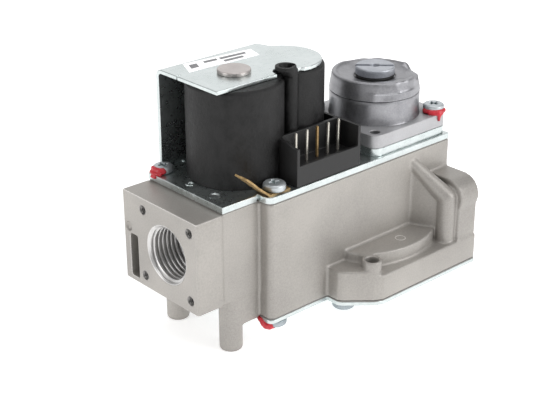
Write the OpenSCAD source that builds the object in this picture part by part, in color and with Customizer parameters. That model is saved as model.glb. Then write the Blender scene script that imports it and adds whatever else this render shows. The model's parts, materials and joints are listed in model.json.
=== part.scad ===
// Boiler gas control valve with twin solenoids and a servo pressure regulator.
// Lengths are set out from the casting corner: x from the inlet face, y from the near side of the inlet
// block, z from the underside of the inlet block. datum() moves that corner so that the part's origin
// is the centre of the inlet port's mouth.

/* [Ports] */
// port centre from the near side of the inlet block
port_y = 16.8; // [15:0.1:20]
// port centre above the underside of the inlet block
port_z = 17.3; // [15:0.1:20]
// wall radius of the G1/2 ports at the thread root
port_r = 10.48; // [8:0.01:14]
// threaded length of each port
port_len = 15; // [12:0.5:18]
// radius of the passage behind the thread
passage_r = 8.5; // [6:0.1:9]
// bolt circle of the port flanges
flange_pcd = 36; // [32:0.5:40]
// tapped hole radius in the inlet flange
flange_hole_r = 1.65; // [1.2:0.05:2.5]
// tapped hole radius in the outlet flange
outlet_hole_r = 1.85; // [1.2:0.05:2.5]
// depth of the tapped holes
flange_hole_len = 10; // [6:0.5:12]

/* [Casting] */
// overall length from inlet face to outlet face
body_len = 119.3; // [110:0.1:130]
// height of the casting top above the underside of the inlet block
casting_top = 34.4; // [32:0.1:38]
// underside of the main housing
casting_bottom = -9.9; // [-12:0.1:-8]
// back of the inlet block
block_back = 40.9; // [38:0.1:44]
// front wall of the main housing
wall_front = -5.4; // [-7:0.1:-4]
// back wall of the main housing
wall_back = 46.2; // [44:0.1:48]
// left end of the main housing
wall_left = 28; // [26:0.1:30]
// front face of the ledge
ledge_front = -21.4; // [-24:0.1:-18]
// leg radius
leg_r = 4.2; // [3:0.05:5]
// lower end of the legs
leg_bottom = -20.8; // [-22:0.1:-16]
// plan position of the column that carries the sloping rib
column = [106.9, -16.2]; // [-20:0.1:110]
// column radius
column_r = 3.65; // [3:0.05:6]
// pressure test boss, plan position
boss = [67, -16.5]; // [-20:0.1:80]
// pressure test boss radius
boss_r = 3.6; // [3:0.1:5]
// hole radius in the pressure test boss
boss_hole_r = 2.5; // [1.5:0.1:3]
// top of the pressure test boss and of the curved platform beside it
rim_top = 5.3; // [4:0.1:7]

/* [Plates] */
// thickness of the top and bottom gaskets
gasket_t = 0.4; // [0.2:0.1:0.8]
// base plate thickness
plate_t = 2.4; // [2:0.1:3]
// left edge of the base plate
plate_left = 11.4; // [10:0.1:14]
// bottom cover thickness
cover_t = 1.5; // [1:0.1:2]
// regulator spacer plate thickness
spacer_t = 3.1; // [2:0.1:4]

/* [Coils] */
// axis of the large solenoid
coil_1 = [34.95, 20.8]; // [20:0.1:40]
// outside radius of the large solenoid
coil_1_r = 17.25; // [15:0.05:19]
// axis of the small solenoid
coil_2 = [59, 21.8]; // [20:0.1:62]
// outside radius of the small solenoid
coil_2_r = 14.5; // [12:0.05:16]
// height of the moulded coil housing
coil_h = 35.3; // [30:0.1:40]
// yoke sheet thickness
yoke_t = 1.5; // [1:0.1:2]
// radius of the riveted core stud
stud_r = 5.9; // [5:0.1:7]
// plunger radius in the large solenoid
plunger_1_r = 4.6; // [4:0.1:5]
// plunger radius in the small solenoid
plunger_2_r = 3.6; // [3:0.1:4]
// running clearance round plungers, stems and screws
running = 0.05; // [0.02:0.01:0.1]

/* [Valves] */
// seat hole radius of the safety valve
seat_1_r = 6.5; // [5:0.1:7]
// axis of the main valve and its diaphragm
main_axis = [77, 17.5]; // [15:0.1:80]
// seat hole radius of the main valve
main_seat_r = 8; // [6:0.1:9]
// radius of the working area of the main diaphragm
diaphragm_r = 18; // [15:0.1:19]

/* [Regulator] */
// axis of the regulator
reg = [99.4, 15.5]; // [10:0.1:105]
// side of the square foot
reg_foot = 39.8; // [36:0.1:40]
// half the spacing of the corner holes
reg_hole_d = 15.9; // [14:0.1:16]
// height of the square foot
reg_foot_h = 5.1; // [4:0.1:6]
// radius of the cup
reg_r = 17; // [15:0.1:18]
// radius of the slotted cap
cap_r = 7.4; // [6:0.1:8]
// top of the cap
cap_top = 63.4; // [61:0.1:64]

/* [Connector] */
// plan corner of the connector nearest the inlet
conn_lo = [40.8, -4.9]; // [-6:0.1:42]
// plan corner at the far end of the back wall
conn_hi = [71.5, 7.1]; // [6:0.1:72]
// height of the connector over the base plate
conn_h = 15.3; // [12:0.1:18]
// blade pitch
blade_pitch = 5.08; // [5:0.01:5.1]

/* [Screws] */
// pan head radius
head_r = 4; // [3:0.1:5]
// pan head height
head_h = 2.7; // [2:0.1:3.5]
// pan head radius of the screws under the bottom cover
bottom_head_r = 4.2; // [3:0.1:5]
// pan head height of the regulator screws
reg_head_h = 3.4; // [2:0.1:4]
// screw shank radius
shank_r = 1.6; // [1.5:0.05:2]
// clearance hole radius
clear_r = 1.8; // [1.7:0.05:2.2]

/* [Hidden] */
$fn = 64;
eps = 0.01;
plate_z0 = casting_top + gasket_t;
plate_z = plate_z0 + plate_t;
coil_z = plate_z + coil_h;
yoke_z = coil_z + yoke_t;
spacer_z = plate_z + spacer_t;
foot_z = spacer_z + reg_foot_h;
cover_z0 = casting_bottom - gasket_t - cover_t;
reg_lo = reg - [reg_foot / 2, reg_foot / 2];
reg_hi = reg + [reg_foot / 2, reg_foot / 2];
// chamber limits along y, shared by the three gas chambers
chamber_y0 = 7;
chamber_y1 = 28.2;
// height of the partition that carries both valve seats
partition_z0 = 20;
partition_z = 24;
seat_h = 1.2;
// plan positions of the screws under the bottom cover
bottom_screw_xy = [[33.5, -1.5], [60.5, -9], [113.5, -14], [33.5, 41.5], [61, 42], [113.5, 41]];
plate_screw_xy = [[16, 38], [74, 42.6]];
earth_screw_xy = [33.9, -0.8];
reg_screw_xy = [[reg.x + reg_hole_d, reg.y - reg_hole_d], [reg.x - reg_hole_d, reg.y + reg_hole_d]];
guide_post = [51, 9.6];
funnel = [49, 10];
guide_post_top = 75.9;

// ---------- shared helpers ----------

module datum() {
    translate([0, -port_y, -port_z])
        children();
}

// box between two corners
module bar(lo, hi) {
    translate(lo)
        cube(hi - lo);
}

// upright cylinder at a plan position
module post(p, r, z0, z1) {
    translate([p.x, p.y, z0])
        cylinder(r = r, h = z1 - z0);
}

// upright ring at a plan position
module ring(p, r_in, r_out, z0, z1) {
    difference() {
        post(p, r_out, z0, z1);
        post(p, r_in, z0 - 1, z1 + 1);
    }
}

// cylinder along x
module along_x(y, z, r, x0, x1) {
    translate([x0, y, z])
        rotate([0, 90, 0])
            cylinder(r = r, h = x1 - x0);
}

// rectangle with round corners, as a 2D shape
module round_rect(lo, hi, r) {
    translate([lo.x + r, lo.y])
        square([hi.x - lo.x - 2 * r, hi.y - lo.y]);
    translate([lo.x, lo.y + r])
        square([hi.x - lo.x, hi.y - lo.y - 2 * r]);
    for (x = [lo.x + r, hi.x - r], y = [lo.y + r, hi.y - r])
        translate([x, y])
            circle(r = r);
}

module slab(z0, z1) {
    translate([0, 0, z0])
        linear_extrude(height = z1 - z0)
            children();
}

// points of an arc about c, from angle a0 to a1
function arc(c, r, a0, a1, n) =
    [for (i = [0:n]) [c.x + r * cos(a0 + (a1 - a0) * i / n), c.y + r * sin(a0 + (a1 - a0) * i / n)]];

// round post whose top edge is rounded
module soft_post(p, r, z0, z1, edge) {
    translate([p.x, p.y, 0])
        rotate_extrude()
            polygon(concat([[0, z0], [r, z0]], arc([r - edge, z1 - edge], edge, 0, 90, 5), [[0, z1]]));
}

// pan head screw, head upwards from z, shank downwards
module pan_screw(p, r, z, h, shank) {
    edge = 0.9;
    recess = [3.6, 0.9, 1.3];
    difference() {
        union() {
            soft_post(p, r, z, z + h, edge);
            post(p, shank_r, z - shank, z + eps);
        }
        for (a = [20, 110])
            translate([p.x, p.y, z + h - recess.z])
                rotate(a)
                    translate([-recess.x / 2, -recess.y / 2, 0])
                        cube([recess.x, recess.y, recess.z + 1]);
    }
}

// round wire coil between z0 and z1
module spring(p, r, wire, turns, z0, z1) {
    steps = 20 * turns;
    sides = 8;
    rise = z1 - z0 - 2 * wire;
    pts = [for (i = [0:steps], j = [0:sides - 1])
        let (a = 360 * turns * i / steps, b = 360 * j / sides, q = r + wire * cos(b))
            [p.x + q * cos(a), p.y + q * sin(a), z0 + wire + rise * i / steps + wire * sin(b)]];
    skin = [for (i = [0:steps - 1], j = [0:sides - 1])
        let (k = (j + 1) % sides)
            [i * sides + j, (i + 1) * sides + j, (i + 1) * sides + k, i * sides + k]];
    cap_0 = [[for (j = [0:sides - 1]) j]];
    cap_1 = [[for (j = [sides - 1:-1:0]) steps * sides + j]];
    polyhedron(points = pts, faces = concat(skin, cap_0, cap_1), convexity = 8);
}

// outline of the ledge in front of the wall
module ledge_outline() {
    polygon([[55.6, wall_front + 1], [55.6, -10.6], [56.6, -12.2], [61.7, -16.6], [65.3, -19.8],
        [68.4, ledge_front], [body_len, ledge_front], [body_len, wall_front + 1]]);
}

// outline shared by the casting underside, gasket and cover
module underside_outline(inset) {
    round_rect([wall_left + inset, wall_front + inset], [body_len - inset, wall_back - inset], 2.5);
    difference() {
        ledge_outline();
        // trims the inset off the outer sides of the ledge
        if (inset > 0) {
            translate([body_len - inset, ledge_front - 1])
                square([inset + 1, 40]);
            translate([40, ledge_front - 1])
                square([body_len, inset + 1]);
        }
    }
}

// outline shared by the top gasket and the base plate
module plate_outline(inset) {
    ear_r = 3.1;
    translate([plate_left + inset, inset])
        square([40, block_back - 0.1 - 2 * inset]);
    translate([wall_left + 2.6, wall_front + inset])
        square([body_len - wall_left - 2.6 - inset, wall_back - wall_front - 2 * inset]);
    for (y = [wall_front + ear_r, wall_back - ear_r])
        translate([wall_left + 2.6, y])
            circle(r = ear_r - inset);
    translate([wall_left - 0.5 + inset, wall_front + ear_r])
        square([5, wall_back - wall_front - 2 * ear_r]);
}

// screw holes through everything that lies on the casting top
module top_screw_holes(z0, z1) {
    for (p = concat(plate_screw_xy, [earth_screw_xy], reg_screw_xy))
        post(p, clear_r, z0, z1);
}

module flange_holes(r, x0, x1) {
    d = flange_pcd / 2 * cos(45);
    for (y = [-d, d], z = [-d, d])
        along_x(port_y + y, port_z + z, r, x0, x1);
}

// ---------- casting ----------

module body_outside() {
    block_step = 11.2;
    // inlet flange, then the block behind it, stepped in a little
    bar([0, 0, 0], [block_step, block_back, casting_top]);
    bar([block_step - eps, 0.4, 0], [wall_left + 5, block_back - 0.4, casting_top]);
    // main housing with round upright corners
    slab(casting_bottom, casting_top)
        round_rect([wall_left, wall_front], [body_len, wall_back], 2.5);
    // square off the outlet end
    bar([body_len - 5, wall_front, casting_bottom], [body_len, wall_back, casting_top]);
    slab(casting_bottom, 0)
        ledge_outline();
    for (p = [[18, 4.7], [18, 35]])
        soft_leg(p);
    // web from the near leg to the main housing
    bar([18, 0.6, casting_bottom - 1.1], [wall_left - 0.3, 6.5, 1]);
    bar([wall_left - 1, 0.6, casting_bottom], [wall_left + 0.2, 6.5, 1]);
}

// leg with a rounded foot
module soft_leg(p) {
    translate([p.x, p.y, 0])
        mirror([0, 0, 1])
            soft_post([0, 0], leg_r, -0.3, -leg_bottom, 0.8);
}

// raised end of the ledge and the flat platform with a curved front between the boss and the column
module ledge_platforms() {
    lobe_top = 1.8;
    arc_c = [87.1, 15.9];
    arc_r = 34.1;
    inner = wall_front + 1;
    slab(-1, lobe_top)
        intersection() {
            ledge_outline();
            translate([50, ledge_front])
                square([16.5, 30]);
        }
    slab(-1, rim_top)
        polygon(concat([[104, inner], [64.4, inner], [64.4, -6.5], [66.5, -10.2], [66.8, -14.6]],
            arc(arc_c, arc_r, 240, 297, 12)));
}

// column with a domed top and an oblique rib that rises from it to the wall
module column_and_rib() {
    top_z = 17.6;
    foot = [100.4, wall_front];
    foot_r = 2.2;
    foot_z = 29;
    reach = norm(foot - column);
    turn = atan2(foot.y - column.y, foot.x - column.x);
    run = norm([reach, foot_z - top_z]);
    slope = atan2(foot_z - top_z, reach);
    over = 1.1;
    web_half = 2.2;
    post(column, column_r, -1, top_z);
    translate([column.x, column.y, 0])
        rotate(turn) {
            translate([0, 0, top_z])
                sphere(r = column_r);
            translate([0, 0, top_z])
                rotate([0, 90 - slope, 0])
                    cylinder(r1 = column_r, r2 = column_r + over * (foot_r - column_r), h = over * run);
            // web under the ridge
            intersection() {
                slab(-1, 40)
                    polygon([[0, -web_half], [reach + 2, -1.2], [reach + 2, 1.2], [0, web_half]]);
                rotate([90, 0, 0])
                    translate([0, 0, -10])
                        linear_extrude(height = 20)
                            polygon([[0, -1], [reach + 2, -1], [reach + 2, foot_z], [reach, foot_z],
                                [0, top_z]]);
            }
        }
}

// thick outlet end in front of the wall, its upper front corner swollen to a round
module outlet_shoulder() {
    x0 = 109.4;
    front = -20.6;
    bulge_c = [-14.4, 16.5];
    bulge_r = 7.2;
    inner = wall_front + 1;
    translate([x0, 0, 0])
        rotate([90, 0, 90])
            linear_extrude(height = body_len - x0)
                polygon(concat([[inner, -1], [inner, bulge_c.y + bulge_r]],
                    arc(bulge_c, bulge_r, 90, 210, 12), [[front, -1]]));
}

module gas_ways() {
    drop_in = [16, 26.4];
    drop_out = [94, 104.5];
    // inlet thread, strainer step, passage
    along_x(port_y, port_z, port_r, -1, port_len);
    along_x(port_y, port_z, port_r - 0.8, port_len - 1, port_len + 0.8);
    along_x(port_y, port_z, passage_r, port_len, drop_in[1]);
    // outlet thread and passage
    along_x(port_y, port_z, port_r, body_len - port_len, body_len + 1);
    along_x(port_y, port_z, passage_r, drop_out[0], body_len - port_len + eps);
    // chamber over the safety seat, with its drop from the inlet
    bar([drop_in[0], chamber_y0, 8], [drop_in[1], 33, casting_top + 1]);
    bar([drop_in[0], chamber_y0, partition_z], [47, 33, casting_top + 1]);
    // chamber between the two seats
    bar([29, 8, 6], [92, 34, partition_z0]);
    // outlet chamber, with its drop to the outlet
    bar([66, chamber_y0, partition_z], [drop_out[1], chamber_y1, casting_top + 1]);
    bar([drop_out[0], chamber_y0, 7], [drop_out[1], chamber_y1, casting_top + 1]);
    post(coil_1, seat_1_r, partition_z0 - 1, partition_z + 5);
    post(main_axis, main_seat_r, partition_z0 - 1, partition_z + 5);
}

module servo_ways() {
    nozzle_top = partition_z + 1.4;
    pocket_r = 5.5;
    channel = [59, 40];
    difference() {
        post(coil_2, pocket_r, partition_z, casting_top + 1);
        post(coil_2, 2.2, partition_z - 1, nozzle_top);
    }
    post(coil_2, 1, partition_z0 - 1, nozzle_top + 1);
    // drilling from the servo pocket to the space under the main diaphragm
    translate([coil_2.x, coil_2.y, 30])
        rotate([-90, 0, 0])
            cylinder(r = 1.2, h = channel.y - coil_2.y);
    post(channel, 1.2, casting_bottom - 1, 30);
    // diaphragm chamber, clamp recess, stem guide and vent
    post(main_axis, diaphragm_r, casting_bottom - 1, 2);
    post(main_axis, diaphragm_r + 2.5, casting_bottom - 1, casting_bottom + 0.8);
    post(main_axis, 1.5 + running, 1, 8);
}

module casting_holes() {
    flange_holes(flange_hole_r, -1, flange_hole_len);
    flange_holes(outlet_hole_r, body_len - flange_hole_len, body_len + 1);
    // tall slot and shallow dimple at the far side of the inlet face
    slot_y = [33.1, 37.5];
    slot_z = [2, 18.4];
    slot_depth = 13;
    bar([-1, slot_y[0], slot_z[0]], [slot_depth, slot_y[1], slot_z[1]]);
    along_x(38.2, 20.9, 1.8, -1, 1);
    post(boss, boss_hole_r, rim_top - 9, rim_top + 1);
    for (p = bottom_screw_xy)
        post(p, flange_hole_r, casting_bottom - 1, casting_bottom + 8);
    for (p = concat(plate_screw_xy, [earth_screw_xy], reg_screw_xy))
        post(p, flange_hole_r, casting_top - 9, casting_top + 1);
}

module valve_body() {
    color("silver")
        datum()
            difference() {
                union() {
                    difference() {
                        union() {
                            body_outside();
                            ledge_platforms();
                            column_and_rib();
                            outlet_shoulder();
                            post(boss, boss_r, -1, rim_top);
                        }
                        gas_ways();
                        servo_ways();
                    }
                    ring(coil_1, seat_1_r, seat_1_r + 1.3, partition_z - 1, partition_z + seat_h);
                    ring(main_axis, main_seat_r, main_seat_r + 1.3, partition_z - 1,
                        partition_z + seat_h);
                }
                casting_holes();
            }
}

// ---------- plates and gaskets ----------

module top_gasket() {
    color("dimgray")
        datum()
            difference() {
                slab(casting_top, plate_z0)
                    plate_outline(0.3);
                bar([16, chamber_y0, 0], [47, 33, 50]);
                bar([66, chamber_y0, 0], [104.5, chamber_y1, 50]);
                post(coil_2, 5.5, 0, 50);
                top_screw_holes(0, 50);
            }
}

module base_plate() {
    color("gainsboro")
        datum()
            difference() {
                slab(plate_z0, plate_z)
                    plate_outline(0);
                post(coil_1, plunger_1_r + 0.6, 0, 50);
                post(coil_1, 6.7, plate_z0 - 1, plate_z0 + 0.7);
                post(coil_2, plunger_2_r + 0.6, 0, 50);
                post(coil_2, 5.4, plate_z0 - 1, plate_z0 + 0.7);
                top_screw_holes(0, 50);
                // vent ring and pressed dimple near the left edge
                post([16, 22.9], 0.9, 0, 50);
                post([16, 9.8], 2.3, plate_z - 0.8, 50);
                // outlet pressure and servo ways up to the regulator
                post(reg, 1, 0, 50);
                post(reg - [8, 0], 1.2, 0, 50);
                // relief notches beside the ears
                for (y = [-eps, block_back - 0.9])
                    bar([wall_left - 1.3, y, 0], [wall_left - 0.5, y + 0.81, 50]);
                bar([plate_left - 1, 15, 0], [plate_left + 0.3, 15.5, 50]);
            }
}

module bottom_gasket() {
    color("dimgray")
        datum()
            difference() {
                slab(casting_bottom - gasket_t, casting_bottom)
                    underside_outline(0.2);
                post(main_axis, diaphragm_r + 2.6, -20, 0);
                for (p = bottom_screw_xy)
                    post(p, clear_r, -20, 0);
            }
}

module bottom_cover() {
    color("gainsboro")
        datum()
            difference() {
                slab(cover_z0, casting_bottom - gasket_t)
                    underside_outline(0);
                for (p = bottom_screw_xy)
                    post(p, clear_r, -20, 0);
            }
}

module inlet_strainer() {
    rim = 1.2;
    wire = 0.4;
    gap = 1.6;
    r = port_r - 0.85;
    x0 = port_len + 0.1;
    color("gray")
        datum()
            intersection() {
                along_x(port_y, port_z, r, x0, x0 + 0.7);
                union() {
                    difference() {
                        along_x(port_y, port_z, r, x0 - 1, x0 + 2);
                        along_x(port_y, port_z, r - rim, x0 - 2, x0 + 3);
                    }
                    for (i = [-5:5]) {
                        bar([x0, port_y + i * gap - wire / 2, 0],
                            [x0 + wire, port_y + i * gap + wire / 2, 40]);
                        bar([x0, 0, port_z + i * gap - wire / 2],
                            [x0 + wire, 40, port_z + i * gap + wire / 2]);
                    }
                }
            }
}

// ---------- solenoids ----------

module coil_housing() {
    edge = 1.3;
    color("dimgray")
        datum()
            difference() {
                union() {
                    soft_post(coil_1, coil_1_r, plate_z, coil_z, edge);
                    soft_post(coil_2, coil_2_r, plate_z, coil_z, edge);
                }
                post(coil_1, 14.5, plate_z - 1, coil_z - 2.2);
                post(coil_1, plunger_1_r + 0.6, 0, 90);
                post(coil_2, 9.6, plate_z - 1, coil_z - 2.2);
                post(coil_2, plunger_2_r + 0.6, 0, 90);
                post(guide_post, 2.6, 0, 90);
                post(funnel, 4, guide_post_top - 4.4, 90);
            }
}

// flanged tube under a winding
module bobbin(p, bore, flange) {
    ring(p, bore, bore + 1, plate_z + 0.5, coil_z - 2.7);
    ring(p, bore, flange, plate_z + 0.5, plate_z + 1.8);
    ring(p, bore, flange, coil_z - 4, coil_z - 2.7);
}

module coil_1_bobbin() {
    color("ivory")
        datum()
            bobbin(coil_1, plunger_1_r + 0.6, 14.2);
}

module coil_1_winding() {
    color("peru")
        datum()
            ring(coil_1, plunger_1_r + 1.7, 13.4, plate_z + 1.9, coil_z - 4.1);
}

module coil_2_bobbin() {
    color("ivory")
        datum()
            bobbin(coil_2, plunger_2_r + 0.6, 9.3);
}

module coil_2_winding() {
    color("peru")
        datum()
            ring(coil_2, plunger_2_r + 1.7, 8.7, plate_z + 1.9, coil_z - 4.1);
}

module guide_tube(p, r, lip) {
    ring(p, r + running, r + 0.5, plate_z0 + 0.05, coil_z - 0.2);
    ring(p, r + running, lip, plate_z0 + 0.05, plate_z0 + 0.65);
}

module guide_tube_1() {
    color("silver")
        datum()
            guide_tube(coil_1, plunger_1_r, 6.5);
}

module guide_tube_2() {
    color("silver")
        datum()
            guide_tube(coil_2, plunger_2_r, 5.2);
}

module core_1() {
    notch = [1.6, 0.5];
    notch_angle = 230;
    head = 1.5;
    color("lightgray")
        datum()
            difference() {
                union() {
                    post(coil_1, plunger_1_r, 61, coil_z);
                    post(coil_1, 3.6, 61, yoke_z + eps);
                    soft_post(coil_1, stud_r, yoke_z, yoke_z + head, 0.4);
                }
                // dent low in one side of the riveted head
                translate([coil_1.x, coil_1.y, 0])
                    rotate(notch_angle)
                        bar([stud_r - notch.y, -notch.x / 2, yoke_z - eps],
                            [stud_r + 1, notch.x / 2, yoke_z + 0.9]);
            }
}

module core_2() {
    color("lightgray")
        datum()
            post(coil_2, plunger_2_r, 62, coil_z);
}

module yoke_outline() {
    end_c = [58.7, 21.8];
    end_r = 13.7;
    difference() {
        polygon(concat([[17.8, 40], [17.8, 9.4], [44.6, 9.4], [55.5, 9.4]],
            arc(end_c, end_r, -100, 66, 14), [[62.5, 40]]));
        translate(funnel)
            circle(r = 4.4);
        translate(guide_post)
            circle(r = 2.9);
        // saw cut in the left edge
        translate([17, 30.6])
            square([2.6, 0.4]);
    }
}

module yoke_bracket() {
    bend_r = 3;
    back = 39.6;
    color("gainsboro")
        datum()
            difference() {
                union() {
                    intersection() {
                        slab(coil_z, yoke_z)
                            yoke_outline();
                        bar([0, 0, 0], [90, back, 90]);
                    }
                    translate([17.8, back, yoke_z - bend_r])
                        rotate([90, 0, 90])
                            linear_extrude(height = 62.5 - 17.8)
                                intersection() {
                                    difference() {
                                        circle(r = bend_r);
                                        circle(r = bend_r - yoke_t);
                                    }
                                    square(bend_r);
                                }
                    bar([17.8, back + bend_r - yoke_t, plate_z], [62.5, back + bend_r, yoke_z - bend_r]);
                    // foot that hooks down behind the narrow end of the base plate
                    bar([17.8, back + bend_r - yoke_t, plate_z0], [27.1, back + bend_r, plate_z + 1]);
                }
                post(coil_1, 3.65, 0, 90);
            }
}

module sticker() {
    color("white")
        datum()
            slab(yoke_z, yoke_z + 0.12)
                polygon([[23.3, 30.7], [54, 29.2], [56, 36.3], [27.3, 39.4]]);
}

module guide_post() {
    tube_r = 2.5;
    mouth_r = 3.7;
    flare_h = 4.2;
    color("dimgray")
        datum()
            difference() {
                union() {
                    post(guide_post, tube_r, plate_z, guide_post_top - 1.5);
                    // the mouth leans a little towards the inlet
                    intersection() {
                        hull() {
                            post(funnel, mouth_r, guide_post_top - 1.2, guide_post_top, $fn = 32);
                            post(guide_post, tube_r, guide_post_top - flare_h, guide_post_top - flare_h + 0.2, $fn = 32);
                        }
                        bar([30, -5, 60], [80, 30, 80]);
                    }
                }
                post(guide_post, 1.5, plate_z - 1, 90);
                translate([funnel.x, funnel.y, guide_post_top - 2.4])
                    cylinder(r1 = 1.2, r2 = 2.5, h = 2.5);
            }
}

// ---------- connector ----------

module connector_housing() {
    floor_z = 42.8;
    front_z = 44.8;
    wall = 1.3;
    top_z = plate_z + conn_h;
    side_back = 14;
    color("dimgray")
        datum()
            difference() {
                union() {
                    bar([conn_lo.x, conn_lo.y, plate_z], [conn_hi.x, conn_hi.y, floor_z]);
                    bar([conn_lo.x, conn_lo.y, plate_z], [conn_hi.x, conn_lo.y + wall, front_z]);
                    bar([conn_lo.x, conn_hi.y - wall, plate_z], [conn_hi.x, conn_hi.y, top_z]);
                    // left end wall, lower towards its front corner
                    translate([conn_lo.x + wall, 0, 0])
                        rotate([90, 0, -90])
                            linear_extrude(height = wall)
                                polygon([[-conn_hi.y, plate_z], [-conn_hi.y, top_z], [-1, top_z],
                                    [2.5, top_z - 1.1], [-conn_lo.y, top_z - 1.3],
                                    [-conn_lo.y, plate_z]]);
                    bar([conn_hi.x - wall, conn_lo.y, plate_z], [conn_hi.x, side_back, top_z]);
                }
                // stands clear of both coil barrels and the guide post
                post(coil_1, coil_1_r + 0.1, 0, 90);
                post(coil_2, coil_2_r + 0.1, 0, 90);
                for (i = [-2:2])
                    blade(i, 0.02);
            }
}

// one blade, i steps from the middle one
module blade(i, grow) {
    size = [0.7, 0.9];
    y0 = 1.2;
    top_z = 54.2;
    x = 56.3 + i * blade_pitch;
    bar([x - size.x / 2 - grow, y0 - grow, 38.4], [x + size.x / 2 + grow, y0 + size.y + grow, top_z]);
}

module connector_blades() {
    color("silver")
        datum()
            for (i = [-2, -1, 1, 2])
                blade(i, 0);
}

module earth_blade() {
    color("goldenrod")
        datum()
            blade(0, 0);
}

// brass strip under the earth screw, its tongue bent up and towards the inlet
module earth_tab() {
    t = 0.6;
    width = [-3.9, 2.3];
    color("goldenrod")
        datum()
            difference() {
                translate([0, width[1], 0])
                    rotate([90, 0, 0])
                        linear_extrude(height = width[1] - width[0])
                            polygon([[38.4, plate_z], [38.4, plate_z + t], [29.2, plate_z + t],
                                [19.2, 46.6], [18.7, 46.2], [28.9, plate_z]]);
                post(earth_screw_xy, clear_r, 0, 50);
            }
}

// ---------- screws and lacquer ----------

module earth_screw() {
    color("silver")
        datum()
            pan_screw(earth_screw_xy, head_r, plate_z + 0.6, head_h, 9);
}

module base_plate_screws() {
    color("silver")
        datum()
            for (p = plate_screw_xy)
                pan_screw(p, 3.6, plate_z, head_h, 9);
}

module regulator_screws() {
    color("silver")
        datum()
            for (p = reg_screw_xy)
                pan_screw(p, head_r, foot_z, reg_head_h, 18);
}

module bottom_screws() {
    color("silver")
        datum()
            for (p = bottom_screw_xy)
                translate([p.x, p.y, cover_z0])
                    rotate([180, 0, 0])
                        pan_screw([0, 0], bottom_head_r, 0, head_h, 8);
}

// one dab of lacquer against a screw head
module dab(p, z0, r, head, head_rad) {
    difference() {
        translate([p.x, p.y, z0 + r * 0.45])
            sphere(r = r, $fn = 32);
        post(head, head_rad + 0.02, z0 - 10, z0 + 10);
        post(p, r + 1, z0 - 10, z0 + 0.01);
    }
}

module tamper_lacquer() {
    color("crimson")
        datum() {
            dab([13.3, 38.3], plate_z, 2.1, plate_screw_xy[0], 3.6);
            dab([111.6, -2.4], foot_z, 1.9, reg_screw_xy[0], head_r);
            translate([0, 0, cover_z0])
                mirror([0, 0, 1])
                    dab([30.4, -1.8], 0, 2, bottom_screw_xy[0], bottom_head_r);
        }
}

// ---------- regulator ----------

module regulator_spacer() {
    color("gainsboro")
        datum()
            difference() {
                slab(plate_z, spacer_z)
                    round_rect(reg_lo, reg_hi, 4);
                difference() {
                    post(reg, 13, plate_z + 1.3, spacer_z + 1);
                    post(reg, 2, plate_z, spacer_z - 0.4);
                }
                post(reg, 0.8, plate_z - 1, spacer_z + 1);
                post(reg - [8, 0], 1.2, plate_z - 1, spacer_z + 1);
                for (p = reg_screw_xy)
                    post(p, clear_r, plate_z - 1, spacer_z + 1);
            }
}

// half section of the cup's outside
function cup_outline() = [[0, foot_z - 1], [reg_r, foot_z - 1], [reg_r, 54.4], [16.6, 54.7], [17.1, 55.1],
    [16.2, 60.8], [15.6, 61.4], [14.9, 61.5], [14.2, 61.1], [13.2, 59.8], [0, 59.8]];

module regulator_housing() {
    column_in = 6;
    column_out = 8.6;
    column_z = 47;
    color("darkgray")
        datum()
            difference() {
                union() {
                    slab(spacer_z, foot_z)
                        round_rect(reg_lo, reg_hi, 4);
                    translate([reg.x, reg.y, 0])
                        rotate_extrude()
                            polygon(cup_outline());
                }
                // spring space round the threaded column
                difference() {
                    post(reg, 13, spacer_z + 0.8, 56.5);
                    post(reg, column_out, column_z, 57);
                }
                post(reg, 15.4, spacer_z - 1, spacer_z + 0.8);
                post(reg, column_in, 40, 70);
                post(reg, cap_r + 0.1, 59.2, 70);
                for (x = [-1, 1], y = [-1, 1])
                    post(reg + [x * reg_hole_d, y * reg_hole_d], clear_r, spacer_z - 1, foot_z + 1);
            }
}

module regulator_diaphragm() {
    t = 0.5;
    z = spacer_z;
    color("black")
        datum()
            translate([reg.x, reg.y, 0])
                rotate_extrude()
                    polygon([[2.05, z + 1.7], [8.4, z + 1.7], [10.5, z + 2.2], [12.2, z + 1.4], [12.9, z],
                        [15.3, z], [15.3, z + 0.75], [12.9, z + 0.75], [12.3, z + 2], [10.6, z + 2.8],
                        [8.3, z + 1.7 + t], [2.05, z + 1.7 + t]]);
}

module regulator_poppet() {
    color("silver")
        datum() {
            post(reg, 3.2, spacer_z - 0.35, spacer_z + 1.65);
            post(reg, 2, spacer_z + 1, spacer_z + 2.25);
        }
}

module regulator_plate() {
    color("silver")
        datum() {
            post(reg, 8, spacer_z + 2.25, spacer_z + 3.1);
            post(reg, 3, spacer_z + 3, spacer_z + 4.4);
        }
}

module regulator_spring() {
    color("gray")
        datum()
            spring(reg, 4.2, 0.4, 5, spacer_z + 3.1, 51.45);
}

module spring_seat() {
    color("goldenrod")
        datum() {
            post(reg, 5.7, 51.5, 52.5);
            post(reg, 3, 50.2, 51.6);
        }
}

module adjusting_screw() {
    slot_w = 1.4;
    color("ivory")
        datum()
            difference() {
                post(reg, 6 - running, 52.55, 56);
                bar([reg.x - 7, reg.y - slot_w / 2, 54.6], [reg.x + 7, reg.y + slot_w / 2, 57]);
            }
}

module cap_seal() {
    section = 0.6;
    color("black")
        datum()
            translate([reg.x, reg.y, 59.2 + section])
                rotate_extrude()
                    translate([6.7, 0])
                        circle(r = section, $fn = 16);
}

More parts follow.
